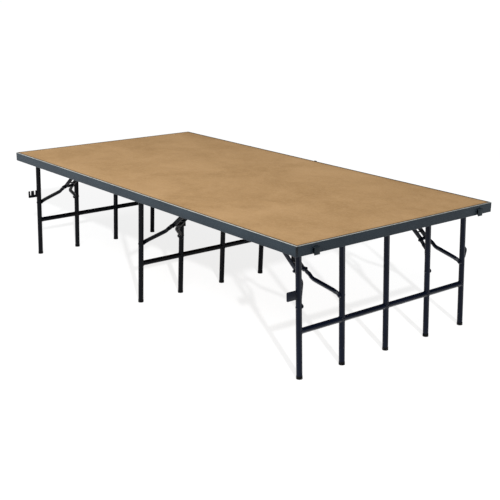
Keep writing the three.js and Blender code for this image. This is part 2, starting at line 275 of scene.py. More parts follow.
def rod(a, b, radius, sides=32, ease=0.0):
    """Cylinder from a to b, its rims eased if asked."""
    a, b = Vector(a), Vector(b)
    length = (b - a).length
    profile = [(0, radius), (length, radius)]
    if ease > 0:
        start = [(0, radius - ease), (ease * 0.3, radius - ease * 0.3), (ease, radius)]
        profile = start + [(length - d, r) for d, r in reversed(start)]
    return lathe(a, b - a, profile, sides)


def dome_head(base, axis, radius, height, sides=28):
    """Low domed rivet head standing on base."""
    edge = 0.35 * height
    profile = [(-0.4, radius - 0.3), (0.15, radius), (edge, radius)]
    for k in range(1, 7):
        t = k / 6 * math.pi / 2
        profile.append((edge + 0.65 * height * math.sin(t), radius * math.cos(t) if k < 6 else 0.0))
    return lathe(base, axis, profile, sides)


def prism(poly, place, d0, d1, ease=0.6, seg=2):
    """Polygon extruded from d0 to d1, with eased rims. place(a, b, depth) gives the point."""
    poly = counter_clockwise(poly)
    stations = [(0, d0), (0, d1)]        # (inset, depth)
    if ease > 0:
        curve = []
        for k in range(seg + 1):
            t = k / seg * math.pi / 2
            curve.append((ease * (1 - math.sin(t)), ease * (1 - math.cos(t))))
        stations = [(i, d0 + d) for i, d in curve] + [(i, d1 - d) for i, d in reversed(curve)]
        return loft([[place(a, b, d) for a, b in inset(poly, i)] for i, d in stations])
    return loft([[place(a, b, d) for a, b in poly] for _, d in stations])


def nearest_turn(ring, target):
    """How many points to turn a ring by, to lie nearest to the target ring."""
    n = len(ring)
    return min(range(n), key=lambda s: sum((ring[(k + s) % n] - target[k]).length
                                           for k in range(n)))


def closed_tube(points, radii, n=10):
    """Ring of the given radii swept round a closed path."""
    rings, count = [], len(points)
    for i, p in enumerate(points):
        x, y, _ = basis((points[(i + 1) % count] - points[i - 1]).normalized())
        rings.append([p + (x * math.cos(2 * math.pi * k / n)
                           + y * math.sin(2 * math.pi * k / n)) * radii[i] for k in range(n)])
    # line each ring up with the one before, so that the quads don't twist
    for i in range(1, count):
        turn = nearest_turn(rings[i], rings[i - 1])
        rings[i] = rings[i][turn:] + rings[i][:turn]
    seam = nearest_turn(rings[0], rings[-1])
    faces = []
    for i in range(count):
        a, b = i * n, ((i + 1) % count) * n
        s = seam if i == count - 1 else 0
        for k in range(n):
            faces.append((a + k, a + (k + 1) % n, b + (k + 1 + s) % n, b + (k + s) % n))
    return outward([p for ring in rings for p in ring], faces)


def weld_bead(path, radius, seed):
    """Closed weld bead with ripples."""
    draw = random.Random(seed)
    count = len(path)
    phase, ripples = draw.random() * 6.28, count // 3
    radii = []
    for i in range(count):
        t = 2 * math.pi * i / count
        radii.append(radius * (1 + 0.10 * math.sin(ripples * t + phase)
                               + 0.05 * math.sin(3 * t + phase * 2) + draw.uniform(-0.03, 0.03)))
    return closed_tube(path, radii)


def group(*shells):
    verts, faces = [], []
    for shell_verts, shell_faces in shells:
        start = len(verts)
        verts += shell_verts
        faces += [tuple(i + start for i in f) for f in shell_faces]
    return verts, faces


def combine(base, *steps):
    """Boolean joins and cuts: steps are ("+", shell) or ("-", shell). Returns a shell."""
    temporary = []

    def add_object(name, shell):
        mesh = bpy.data.meshes.new("tmp")
        mesh.from_pydata([tuple(p) for p in shell[0]], [], shell[1])
        mesh.validate()
        obj = bpy.data.objects.new(name, mesh)
        scene.collection.objects.link(obj)
        temporary.append(obj)
        return obj

    body = add_object("tmp_base", base)
    for sign, shell in steps:
        tool = add_object("tmp_tool", shell)
        modifier = body.modifiers.new("b", "BOOLEAN")
        modifier.operation = "UNION" if sign == "+" else "DIFFERENCE"
        modifier.solver = "MANIFOLD"
        modifier.object = tool
    depsgraph = bpy.context.evaluated_depsgraph_get()
    result = bpy.data.meshes.new_from_object(body.evaluated_get(depsgraph))
    verts = [v.co.copy() for v in result.vertices]
    faces = [tuple(p.vertices) for p in result.polygons]
    for obj in temporary:
        mesh = obj.data
        bpy.data.objects.remove(obj)
        bpy.data.meshes.remove(mesh)
    bpy.data.meshes.remove(result)
    if not faces:
        raise RuntimeError("boolean gave nothing")
    return verts, faces


def piece(name, shell, material, body="deck", node=None, place=None, flip=False, sharp=32):
    """Puts a shell into the scene. sharp is the angle in degrees above which edges stay sharp."""
    verts, faces = shell
    if place:
        verts = [place(p) for p in verts]
    if flip:
        faces = [tuple(reversed(f)) for f in faces]
    mesh = bpy.data.meshes.new(name)
    mesh.from_pydata([((p.x + MIDDLE_X) / 1000, (p.y + MIDDLE_Y) / 1000, p.z / 1000)
                      for p in verts], [], faces)
    mesh.validate()
    mesh.shade_smooth()
    mesh.set_sharp_from_angle(angle=math.radians(sharp))
    obj = bpy.data.objects.new(name, mesh)
    scene.collection.objects.link(obj)
    mesh.materials.append(material)
    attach(obj, body)
    if node:
        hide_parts(node)


# ------------------------------------------------------------------ materials (metres)
class Material:
    """Node tree of one material, with short ways to add to it."""

    def __init__(self, name):
        self.mat = bpy.data.materials.new(name)
        self.mat.use_nodes = True
        self.tree = self.mat.node_tree
        self.tree.nodes.clear()
        self.out = self.tree.nodes.new("ShaderNodeOutputMaterial")
        self.coords = self.add("TexCoord").outputs["Object"]

    def add(self, kind, inputs=None, **settings):
        node = self.tree.nodes.new("ShaderNode" + kind)
        for key, value in settings.items():
            setattr(node, key, value)
        for key, value in (inputs or {}).items():
            if isinstance(value, bpy.types.NodeSocket):
                self.tree.links.new(value, node.inputs[key])
            else:
                node.inputs[key].default_value = value
        return node

    def noise(self, scale, detail=3.0, rough=0.55, stretch=None, warp=0.0, offset=(0, 0, 0)):
        vector = self.coords
        if stretch or offset != (0, 0, 0):
            vector = self.add("Mapping", {"Vector": vector, "Scale": stretch or (1, 1, 1),
                                          "Location": offset}).outputs[0]
        return self.add("TexNoise", {"Vector": vector, "Scale": scale, "Detail": detail,
                                     "Roughness": rough, "Distortion": warp}).outputs[0]

    def ramp(self, value, span, to=(0.0, 1.0)):
        """Smooth step: as value crosses span, the result goes from to[0] to to[1]."""
        inputs = {0: value, 1: span[0], 2: span[1], 3: to[0], 4: to[1]}
        return self.add("MapRange", inputs, interpolation_type="SMOOTHSTEP", clamp=True).outputs[0]

    def calc(self, operation, a, b=0.0):
        return self.add("Math", {0: a, 1: b}, operation=operation).outputs[0]

    def plus(self, a, b):
        return self.calc("ADD", a, b)

    def minus(self, a, b):
        return self.calc("SUBTRACT", a, b)

    def times(self, a, b):
        return self.calc("MULTIPLY", a, b)

    def mix(self, amount, under, over):
        under, over = (c if isinstance(c, bpy.types.NodeSocket) else (*c, 1.0)
                       for c in (under, over))
        return self.add("MixRGB", {0: amount, 1: under, 2: over}).outputs[0]

    def blend(self, under, over, by, span, amount=1.0):
        """Lays one colour over another, up to amount, as by crosses span."""
        return self.mix(self.ramp(by, span, (0.0, amount)), under, over)

    def split(self, vector):
        return tuple(self.add("SeparateXYZ", {0: vector}).outputs)

    def normal_z(self):
        return self.split(self.add("NewGeometry").outputs["Normal"])[2]

    def off_middle(self, x, y):
        """Distances from the deck's middle, along X and Y."""
        return (self.calc("ABSOLUTE", self.minus(x, MIDDLE_X / 1000)),
                self.calc("ABSOLUTE", self.minus(y, MIDDLE_Y / 1000)))

    def from_rim(self, off_middle):
        """Distances in from the deck's ends and from its long sides."""
        return (self.minus(HALF_LENGTH / 1000, off_middle[0]),
                self.minus(HALF_WIDTH / 1000, off_middle[1]))

    def edge(self, radius):
        """0 on flat faces, rising on edges."""
        bevel = self.add("Bevel", {"Radius": radius}, samples=4)
        normal = self.add("NewGeometry").outputs["Normal"]
        dot = self.add("VectorMath", {0: bevel.outputs[0], 1: normal}, operation="DOT_PRODUCT")
        return self.minus(1.0, dot.outputs["Value"])

    def bump(self, height, strength, distance):
        return self.add("Bump", {"Strength": strength, "Distance": distance,
                                 "Height": height}).outputs[0]

    def finish(self, shader):
        self.tree.links.new(shader.outputs[0], self.out.inputs[0])
        return self.mat

    def principled(self, colour, roughness, bump, **others):
        inputs = {"Base Color": colour, "Roughness": roughness, "Normal": bump}
        inputs.update({key.replace("_", " "): value for key, value in others.items()})
        return self.finish(self.add("BsdfPrincipled", inputs))


def painted_frame_shade_and_floor_reflection(m, colour, specular, worn, dark):
    """Painted shade blackens the middle and far frames; a painted floor reflection brightens the
    near one where it faces down.
    """
    x, _, _ = m.split(m.coords)
    # painted shade: the middle and far frames are blended towards black
    colour = m.blend(colour, (0.0016, 0.0018, 0.0021), by=x, span=(1.00, 0.30), amount=0.80)
    # painted reflection of the lit floor: facing down and on the near frame
    down = m.times(m.ramp(m.normal_z(), span=(0.05, -0.35)), m.ramp(x, span=(0.75, 0.95)))
    gloss, painted_reflection_share = 0.55, 0.50             # how far it adds shine and a pale painted reflection there
    specular = m.plus(specular, m.times(down, gloss))
    # the painted reflection: a pale colour where the near frame faces down
    colour = m.mix(m.times(down, painted_reflection_share), colour, (0.085, 0.094, 0.102))
    return colour, specular, worn


def rail_wear_and_painted_light(m, colour, specular, worn, dark):
    """Rub marks, grime, a painted highlight and painted shade along the edge frame of the deck."""
    def height_span(start, end):
        """Heights given in mm below the deck's top."""
        return (DECK_TOP - start) / 1000, (DECK_TOP - end) / 1000

    def without(mask):
        return m.times(worn, m.minus(1.0, mask))

    lip_shade_share, seam_grime = 0.85, 0.92       # how fully the painted lip shade and the grime in the mitres cover
    x, y, z = m.split(m.coords)
    off_middle = m.off_middle(x, y)
    # painted highlight, partly rubbed paint: the top outer corner is made lighter
    top = m.ramp(z, height_span(3.2, 0.8))
    in_from_rim = m.calc("MINIMUM", *m.from_rim(off_middle))
    outer = m.ramp(in_from_rim, span=(0.0042, 0.0012))
    patches = m.ramp(m.noise(scale=22, detail=5, rough=0.7), span=(0.30, 0.62), to=(0.70, 1.0))
    colour = m.mix(m.times(m.times(top, outer), patches), colour, (0.52, 0.52, 0.48))
    # painted shade along the lip's inner half, beside the board
    inner = m.times(top, m.ramp(in_from_rim, span=(0.0048, 0.0062)))
    colour = m.mix(m.times(inner, lip_shade_share), colour, (0.006, 0.008, 0.010))
    worn = without(inner)
    # grime in the mitres
    seam = m.ramp(m.plus(*m.from_rim(off_middle)), span=(0.0095, 0.0050))
    seam = m.times(seam, m.ramp(z, height_span(1.5, 4)))
    colour = m.mix(m.times(seam, seam_grime), colour, (0.003, 0.004, 0.006))
    worn = without(seam)
    # painted shade: the near end darkens towards the back
    end_face = m.ramp(x, span=((HALF_LENGTH - 4) / 1000, (HALF_LENGTH - 1) / 1000))
    near = m.times(end_face, m.ramp(y, span=(-0.45, 0.62), to=(0.0, 0.85)))
    colour = m.mix(near, colour, (0.008, 0.0125, 0.018))
    # a little darker towards the bottom of the web
    colour = m.blend(colour, dark, by=z, span=height_span(18, 46), amount=0.55)
    return colour, specular, worn


def paint(name, base, dark, light, bare, rough, specular, peel, wear, extra=None):
    """Satin powder coat, shading from dark to light, with bare showing where it is worn.

    peel is the strength of the orange peel, wear that of the edge wear. extra adds what one
    coat alone has: it takes and gives back colour, specular and the mask of worn edges.
    """
    m = Material(name)
    slow = m.noise(scale=4.5, detail=4, rough=0.6)
    patches = m.noise(scale=38, rough=0.6, offset=(3, 1, 7))
    colour = m.blend(dark, light, by=slow, span=(0.35, 0.68))
    base_share = 0.5
    colour = m.mix(base_share, colour, base)
    colour = m.blend(colour, light, by=patches, span=(0.3, 0.75), amount=0.35)
    # fine flecks in the powder
    fleck = m.noise(scale=1500, detail=1, rough=0.5, offset=(9, 2, 5))
    colour = m.blend(colour, light, by=fleck, span=(0.60, 0.72), amount=0.22)
    colour = m.blend(colour, dark, by=fleck, span=(0.40, 0.28), amount=0.25)
    # dust and rub marks, paler than the light shade
    rub = m.noise(scale=60, detail=5, rough=0.7, stretch=(0.25, 0.25, 1.6), offset=(1, 8, 2))
    rubbed = m.ramp(rub, span=(0.60, 0.78), to=(0.0, 0.22))
    colour = m.mix(rubbed, colour, tuple(min(1, c * 1.6 + 0.02) for c in light))
    # worn edges
    worn_patches = m.noise(scale=85, detail=4, rough=0.65, offset=(4, 4, 1))
    worn = m.times(m.ramp(m.edge(radius=0.0022), span=(0.02, 0.22)),
                   m.ramp(worn_patches, span=(0.42, 0.66)))
    worn = m.times(worn, wear)
    if extra:
        colour, specular, worn = extra(m, colour, specular, worn, dark)
    colour = m.mix(worn, colour, bare)
    roughness = m.ramp(m.noise(scale=140, rough=0.6), span=(0.3, 0.7),
                       to=(rough - 0.05, rough + 0.07))
    rub_dulling, bare_metal = 0.5, 0.7   # roughness added by rubs, metallic share where worn
    roughness = m.plus(roughness, m.times(rubbed, rub_dulling))
    orange_peel = m.noise(scale=620, detail=2, rough=0.5)
    bump = m.bump(orange_peel, strength=peel, distance=0.0006)
    return m.principled(colour, roughness, bump, Metallic=m.times(worn, bare_metal),
                        Specular_IOR_Level=specular, Coat_Roughness=0.25)


def hardboard():
    m = Material("hardboard_tempered")
    cloud = m.noise(scale=2.6, detail=5, rough=0.62, warp=0.4)
    patch = m.noise(scale=11, detail=4, rough=0.6, offset=(5, 2, 1), warp=0.3)
    fine = m.noise(scale=70, detail=4, rough=0.7, offset=(2, 7, 3))
    colour = m.blend((0.345, 0.205, 0.090), (0.450, 0.279, 0.134), by=cloud, span=(0.32, 0.70))
    colour = m.blend(colour, (0.424, 0.260, 0.119), by=patch, span=(0.35, 0.72), amount=0.55)
    colour = m.blend(colour, (0.491, 0.320, 0.166), by=fine, span=(0.38, 0.70), amount=0.30)
    # short pressed fibres, lying along X and along Y
    fibre_x = m.noise(scale=900, detail=2, rough=0.6, stretch=(0.22, 1.0, 1.0), warp=0.6)
    fibre_y = m.noise(scale=760, detail=2, rough=0.6, stretch=(1.0, 0.26, 1.0),
                      offset=(3, 3, 3), warp=0.8)
    colour = m.blend(colour, (0.235, 0.125, 0.055), by=fibre_x, span=(0.58, 0.74), amount=0.40)
    colour = m.blend(colour, (0.584, 0.411, 0.241), by=fibre_y, span=(0.58, 0.74), amount=0.36)
    # darker flecks
    cells = m.add("TexVoronoi", {"Vector": m.coords, "Scale": 260.0, "Randomness": 1.0})
    fleck_amount = 0.32
    fleck = m.times(m.ramp(cells.outputs["Distance"], span=(0.16, 0.05)), fleck_amount)
    colour = m.mix(fleck, colour, (0.17, 0.085, 0.035))
    # scuffs: long faint rub marks
    scuff = m.noise(scale=14, detail=6, rough=0.75, stretch=(0.35, 2.2, 1),
                    offset=(8, 1, 4), warp=1.2)
    scuffed = m.ramp(scuff, span=(0.62, 0.80), to=(0.0, 0.28))
    colour = m.mix(scuffed, colour, (0.52, 0.36, 0.22))
    # darker towards the rim, along a line that wanders
    x, y, _ = m.split(m.coords)
    rim = m.calc("MINIMUM", *m.from_rim(m.off_middle(x, y)))
    noise_middle, wander = 0.5, 0.02
    shift = m.times(m.minus(m.noise(scale=9), noise_middle), wander)
    colour = m.blend(colour, (0.26, 0.15, 0.07), by=m.plus(rim, shift),
                     span=(0.045, 0.006), amount=0.16)
    # painted shade: a dark band on the board beside the rails' lips
    colour = m.blend(colour, (0.10, 0.060, 0.03), by=rim, span=(0.0165, 0.0100), amount=0.80)
    roughness = m.ramp(m.noise(scale=24, detail=4, rough=0.65), span=(0.3, 0.7), to=(0.50, 0.66))
    scuff_polish = 0.25
    roughness = m.minus(roughness, m.times(scuffed, scuff_polish))
    fibre_height, fine_height = 0.5, 0.8
    height = m.plus(m.times(fibre_x, fibre_height), m.times(fibre_y, fibre_height))
    height = m.plus(height, m.times(fine, fine_height))
    bump = m.bump(height, strength=0.22, distance=0.0007)
    return m.principled(colour, roughness, bump, Specular_IOR_Level=0.10)


def plywood():
    m = Material("plywood_core")
    drift = m.noise(scale=2.2, rough=0.5, stretch=(0.4, 2.0, 1.0))
    grain = m.noise(scale=55, detail=6, rough=0.68, stretch=(0.045, 1.0, 1.0), warp=1.4)
    pore = m.noise(scale=420, rough=0.6, stretch=(0.03, 1.0, 1.0), offset=(1, 5, 2))
    colour = m.blend((0.27, 0.165, 0.085), (0.47, 0.315, 0.175), by=grain, span=(0.34, 0.68))
    colour = m.blend(colour, (0.40, 0.245, 0.12), by=drift, span=(0.35, 0.7), amount=0.45)
    colour = m.blend(colour, (0.14, 0.08, 0.04), by=pore, span=(0.58, 0.72), amount=0.5)
    # plies on the edge
    ply_pitch = 0.0050
    _, _, z = m.split(m.coords)
    ply = m.calc("SINE", m.times(z, 2 * math.pi / ply_pitch))
    side = m.ramp(m.calc("ABSOLUTE", m.normal_z()), span=(0.6, 0.3))
    ply_lines = m.times(side, m.ramp(ply, span=(-0.2, 0.4), to=(0.0, 0.6)))
    colour = m.mix(ply_lines, colour, (0.18, 0.10, 0.05))
    pore_height = 0.6
    height = m.plus(grain, m.times(pore, pore_height))
    bump = m.bump(height, strength=0.35, distance=0.0008)
    roughness = m.ramp(grain, span=(0.3, 0.7), to=(0.68, 0.84))
    return m.principled(colour, roughness, bump, Specular_IOR_Level=0.25)


def black_plastic():
    m = Material("foot_plastic")
    slow = m.noise(scale=30, detail=4, rough=0.6)
    colour = m.blend((0.003, 0.003, 0.0035), (0.008, 0.008, 0.009), by=slow, span=(0.3, 0.7))
    # scuffed near the floor
    scuff_amount, scuff_dulling = 0.5, 0.2
    _, _, z = m.split(m.coords)
    scuff = m.times(m.ramp(z, span=(0.010, 0.0005)),
                    m.ramp(m.noise(scale=190, detail=5, rough=0.75), span=(0.45, 0.7)))
    colour = m.mix(m.times(scuff, scuff_amount), colour, (0.045, 0.043, 0.040))
    # worn edges
    worn = m.times(m.ramp(m.edge(radius=0.0012), span=(0.03, 0.25)),
                   m.ramp(m.noise(scale=240), span=(0.4, 0.65), to=(0.0, 0.6)))
    colour = m.mix(worn, colour, (0.06, 0.06, 0.06))
    texture = m.noise(scale=1600, detail=2, rough=0.5)
    bump = m.bump(texture, strength=0.25, distance=0.0004)
    roughness = m.ramp(m.noise(scale=120), span=(0.3, 0.7), to=(0.52, 0.70))
    roughness = m.plus(roughness, m.times(scuff, scuff_dulling))
    return m.principled(colour, roughness, bump, Specular_IOR_Level=0.10)


def zinc():
    m = Material("zinc_fastener")
    mottle = m.noise(scale=160, detail=4, rough=0.65)
    stain = m.noise(scale=60, detail=4, rough=0.7, offset=(2, 2, 2))
    colour = m.blend((0.24, 0.24, 0.23), (0.46, 0.46, 0.44), by=mottle, span=(0.3, 0.7))
    colour = m.blend(colour, (0.20, 0.17, 0.12), by=stain, span=(0.58, 0.75), amount=0.5)
    bump = m.bump(m.noise(scale=900, detail=2), strength=0.2, distance=0.0003)
    roughness = m.ramp(mottle, span=(0.3, 0.7), to=(0.36, 0.55))
    return m.principled(colour, roughness, bump, Metallic=0.85)


RAIL_PAINT = paint(
    "slate_powder_coat", base=(0.0250, 0.0390, 0.0525), dark=(0.0170, 0.0265, 0.0370),
    light=(0.0350, 0.0520, 0.0670), bare=(0.40, 0.39, 0.36),
    rough=0.38, specular=0.14, peel=0.16, wear=0.85, extra=rail_wear_and_painted_light)
INNER_PAINT = paint(
    "slate_powder_coat_inner", base=(0.0170, 0.0265, 0.0340), dark=(0.0105, 0.0170, 0.0220),
    light=(0.0240, 0.0370, 0.0460), bare=(0.30, 0.30, 0.29),
    rough=0.42, specular=0.13, peel=0.16, wear=0.6)
LEG_PAINT = paint(
    "blue_black_powder_coat", base=(0.0046, 0.0082, 0.0215), dark=(0.0020, 0.0036, 0.0095),
    light=(0.0095, 0.0155, 0.0380), bare=(0.12, 0.12, 0.13),
    rough=0.20, specular=0.10, peel=0.12, wear=0.5, extra=painted_frame_shade_and_floor_reflection)
BOARD, PLYWOOD, PLASTIC, ZINC = hardboard(), plywood(), black_plastic(), zinc()


# ------------------------------------------------------------------ deck
def sag(x, y):
    """Slow unevenness of the sheet, fading to nothing at its rim."""
    height = (0.10 * math.sin(x / 171 + 0.6) * math.sin(y / 133 + 1.1)
              + 0.07 * math.sin(x / 83 + y / 117 + 2.0))
    fade = (min(1.0, (HALF_LENGTH - 20 - abs(x)) / 160)
            * min(1.0, (HALF_WIDTH - 20 - abs(y)) / 160))
    return (height - 0.17) * max(0.0, fade)


def board():
    """Sheet inside the rails' lips: a grid on top, then rings down its eased rim."""
    gap, ease, nx, ny = 1.3, 0.9, 72, 36
    flat_x, flat_y = (half - RAIL_LIP - gap - ease for half in (HALF_LENGTH, HALF_WIDTH))
    xs = [-flat_x + 2 * flat_x * i / nx for i in range(nx + 1)]
    ys = [-flat_y + 2 * flat_y * j / ny for j in range(ny + 1)]
    verts = [Vector((x, y, BOARD_TOP + sag(x, y))) for y in ys for x in xs]

    def at(i, j):
        return j * (nx + 1) + i

    faces = [(at(i, j), at(i + 1, j), at(i + 1, j + 1), at(i, j + 1))
             for j in range(ny) for i in range(nx)]
    rim = [(i, 0) for i in range(nx)] + [(nx, j) for j in range(ny)]
    rim += [(i, ny) for i in range(nx, 0, -1)] + [(0, j) for j in range(ny, 0, -1)]
    last = [at(i, j) for i, j in rim]
    starts = [verts[k].copy() for k in last]
    outs = [((i == nx) - (i == 0), (j == ny) - (j == 0)) for i, j in rim]
    steps = [(ease * math.sin(t * math.pi / 6), BOARD_TOP - ease * (1 - math.cos(t * math.pi / 6)))
             for t in (1, 2, 3)]         # (distance out, height)
    steps += [(ease, BOARD_LOW + 0.4), (ease - 0.4, BOARD_LOW)]
    for distance, z in steps:
        ring = list(range(len(verts), len(verts) + len(rim)))
        for p, (out_x, out_y) in zip(starts, outs):
            verts.append(Vector((p.x + out_x * distance, p.y + out_y * distance, z)))
        for k in range(len(rim)):
            k2 = (k + 1) % len(rim)
            faces.append((last[k], ring[k], ring[k2], last[k2]))
        last = ring
    faces.append(tuple(last))
    return outward(verts, faces)


def core():
    x, y = HALF_LENGTH - RAIL_WALL - 0.3, HALF_WIDTH - RAIL_WALL - 0.3
    return prism([(-x, -y), (x, -y), (x, y), (-x, y)], on_xy, CORE_LOW, CORE_TOP)


def rail(half, offset, turn):
    """Rail of half length half, its outer face offset from the middle, with mitred ends."""
    top, low = DECK_TOP, DECK_TOP - RAIL_HEIGHT
    # (distance in from the outer face, height, corner radius)
    section = [(0, low, 2.4), (RAIL_FLANGE, low, 0.7), (RAIL_FLANGE, low + RAIL_WALL, 0.7),
               (RAIL_WALL, low + RAIL_WALL, 0.9), (RAIL_WALL, top - RAIL_WALL, 0.9),
               (RAIL_LIP, top - RAIL_WALL, 0.6), (RAIL_LIP, top, 0.8), (0, top, 2.9)]
    outline = counter_clockwise(rounded([(a, z) for a, z, r in section],
                                        [r for a, z, r in section], 5))
    # (distance back from the mitre, inset of the section)
    stations = [(0.0, 0.55), (0.25, 0.22), (0.8, 0.0), (60.0, 0.0), (400.0, 0.0)]
    mitre_gap = 0.15
    rings = []
    for side in (-1, 1):
        for back, shrink in (stations if side < 0 else reversed(stations)):
            points = inset(outline, shrink) if shrink else outline
            rings.append([Vector((side * (half - a - mitre_gap - back), a - offset, z))
                          for a, z in points])
    verts, faces = loft(rings)
    rotation = Matrix.Rotation(turn, 3, "Z")
    return outward([rotation @ p for p in verts], faces)


def end_hook(y):
    """Strip on the near end, bent out and then down."""
    back, face = HALF_LENGTH + 1.8, HALF_LENGTH + 9.0
    path = [(back, DECK_TOP - 30), (back, DECK_TOP - 18.5),
            (face, DECK_TOP - 18.5), (face, DECK_TOP - 51)]
    return prism(bent_strip(path, thick=3.0, radius=2.2), on_xz, y - 15, y + 15, 0.7, 3)


def edge_clip():
    """Strip on the back side, bent out at its foot."""
    face = HALF_WIDTH + 1.8
    path = [(face, DECK_TOP + 2), (face, DECK_TOP - 20.5), (HALF_WIDTH + 9, DECK_TOP - 20.5)]
    return prism(bent_strip(path, thick=3.0, radius=2.0), on_yz, -4, 14, 0.6, 3)


piece("deck_hardboard_sheet", board(), BOARD, node="deck_board", sharp=50)
piece("deck_plywood_core", core(), PLYWOOD, node="deck_core")
for name, half, offset, turn in (("rail_front", HALF_LENGTH, HALF_WIDTH, 0),
                                 ("rail_near", HALF_WIDTH, HALF_LENGTH, math.pi / 2),
                                 ("rail_back", HALF_LENGTH, HALF_WIDTH, math.pi),
                                 ("rail_far", HALF_WIDTH, HALF_LENGTH, -math.pi / 2)):
    piece("edge_" + name, rail(half, offset, turn), RAIL_PAINT, node=name, sharp=24)
for name, shell in (("end_hook_front", end_hook(-20.0 * INCH)),
                    ("end_hook_back", end_hook(20.4 * INCH)),
                    ("edge_clip_back", edge_clip())):
    piece(name + "_strip", shell, INNER_PAINT, node=name)


# ------------------------------------------------------------------ under the deck
BEAM_LOW = HINGE_Z + HINGE_R + 2.4
BEAM_WALL, BRACKET_PLATE = 2.5, 3


def hex_bolt(x, y, z, radius, height):
    """Hex head hanging down from z, with a washer."""
    corners = [math.pi / 3 * k + 0.4 for k in range(6)]
    poly = [(x + radius * math.cos(t), y + radius * math.sin(t)) for t in corners]
    washer = [(0, radius + 1.8), (0.2, radius + 2.1), (1.5, radius + 2.1)]
    return group(lathe((x, y, z - 1.4), (0, 0, 1), washer, 24),
                 prism(poly, on_xy, z - 1.2 - height, z - 1.2, 0.7))


def bolt_grid(xs, ys, z, radius, height):
    return group(*[hex_bolt(x, y, z, radius, height) for y in ys for x in xs])


def hinge_beam():
    """Channel across the deck, open below, with ears, pins and saddles for the hinge tube."""
    half, inner, roof = 30, 27.5, MOUNT_Z - BEAM_WALL
    beam_end, ear_y, ear_thick = HALF_WIDTH - RAIL_WALL - 1, 545.2, 5
    channel = rounded([(-half, BEAM_LOW), (-inner, BEAM_LOW), (-inner, roof), (inner, roof),
                       (inner, BEAM_LOW), (half, BEAM_LOW), (half, MOUNT_Z), (-half, MOUNT_Z)],
                      [0.6, 0.6, 1.0, 1.0, 0.6, 0.6, 3.2, 3.2], 5)
    ear = strap_outline((0, HINGE_Z), (0, MOUNT_Z - 16.6), 16, 14)
    # saddle arched over the hinge tube
    arch_r, saddle_half, saddle_low, saddle_y = 14.7, 20.5, HINGE_Z - 4, 236
    saddle = [(-saddle_half, saddle_low), (-arch_r, saddle_low)]
    for k in range(15):
        t = math.pi - math.pi * k / 14
        saddle.append((arch_r * math.cos(t), HINGE_Z + arch_r * math.sin(t)))
    saddle += [(arch_r, saddle_low), (saddle_half, saddle_low),
               (saddle_half, MOUNT_Z - 1), (-saddle_half, MOUNT_Z - 1)]
    pin = [(0, 9.4), (22.5, 9.4), (24.3, 8.6), (25, 7.2)]
    steps = []
    for s in (-1, 1):
        y = ear_y if s > 0 else -ear_y - ear_thick
        steps += [
            ("+", prism(ear, on_xz, y, y + ear_thick, 0.8, 3)),
            # pin with an eased nose inside the ear and a domed head outside
            ("+", lathe((0, s * (ear_y + 3), HINGE_Z), (0, -s, 0), pin, 36)),
            ("+", dome_head((0, s * (ear_y + 4.9), HINGE_Z), (0, s, 0), 12.0, 4.0, 36)),
            ("+", prism(saddle, on_xz, s * saddle_y - 2.5, s * saddle_y + 2.5, 0.5))]
    return combine(prism(channel, on_xz, -beam_end, beam_end, 0.5), *steps)


def brace_bracket():
    """Plate with two ears and a cross pin, about the pin's X and the middle of a pair."""
    plate = rounded([(-22, -36), (22, -36), (22, 36), (-22, 36)], 5.0, 5)
    ear = strap_outline((0, BRACKET_Z), (0, MOUNT_Z - 12), 10, 12)
    ear_y, ear_thick = 24.2, 4
    steps = []
    for s in (-1, 1):
        y = ear_y if s > 0 else -ear_y - ear_thick
        middle = y + ear_thick / 2
        steps.append(("+", prism(ear, on_xz, y, y + ear_thick, 0.8, 3)))
        # fold fillet between ear and plate
        fillet = [(middle - 4.4, MOUNT_Z - 2.8), (middle + 4.4, MOUNT_Z - 2.8),
                  (middle, MOUNT_Z - 8.0)]
        steps.append(("+", prism(fillet, on_yz, -9, 9, 0.4, 1)))
    steps.append(("+", rod((0, -29, BRACKET_Z), (0, 29, BRACKET_Z), 4.5, 24)))
    for s in (-1, 1):
        steps.append(("+", dome_head((0, s * 28.1, BRACKET_Z), (0, s, 0), 7.4, 3.3)))
    return combine(prism(plate, on_xy, MOUNT_Z - BRACKET_PLATE, MOUNT_Z, 0.7), *steps)


BEAM = hinge_beam()
BEAM_BOLTS = bolt_grid((-20.2, 20.2), (-508, -372, -110, 110, 372, 508), MOUNT_Z - BEAM_WALL,
                       radius=5.0, height=3.6)
BRACKET = brace_bracket()
BRACKET_SCREWS = bolt_grid((-15.5, 15.5), (-14, 14), MOUNT_Z - BRACKET_PLATE,
                           radius=4.2, height=3.0)


# ------------------------------------------------------------------ leg frame
# In its own frame: the hinge axis lies on Y through the origin and the legs run down -Z.
def tube_meeting(radius, onto, count):
    """Where a ring of one radius meets a crossing one: (x, along the other's axis, depth)."""
    for k in range(count):
        t = 2 * math.pi * k / count
        x = radius * math.cos(t)
        yield x, radius * math.sin(t), math.sqrt(onto ** 2 - x * x)


def leg_welds():
    beads, first_seed = [], 11
    for y in LEG_Y:
        path = [Vector((x, y + along, -depth))
                for x, along, depth in tube_meeting(LEG_R + 0.5, HINGE_R + 0.45, 60)]
        beads.append(weld_bead(path, 1.9, first_seed + len(beads)))
        for s in (-1, 1):
            # the bar ends at the outer legs
            if not LEG_Y[0] <= y + s <= LEG_Y[-1]:
                continue
            path = [Vector((x, y + s * depth, BAR_Z + along))
                    for x, along, depth in tube_meeting(BAR_R + 0.4, LEG_R + 0.4, 54)]
            beads.append(weld_bead(path, 1.7, first_seed + len(beads)))
    return beads


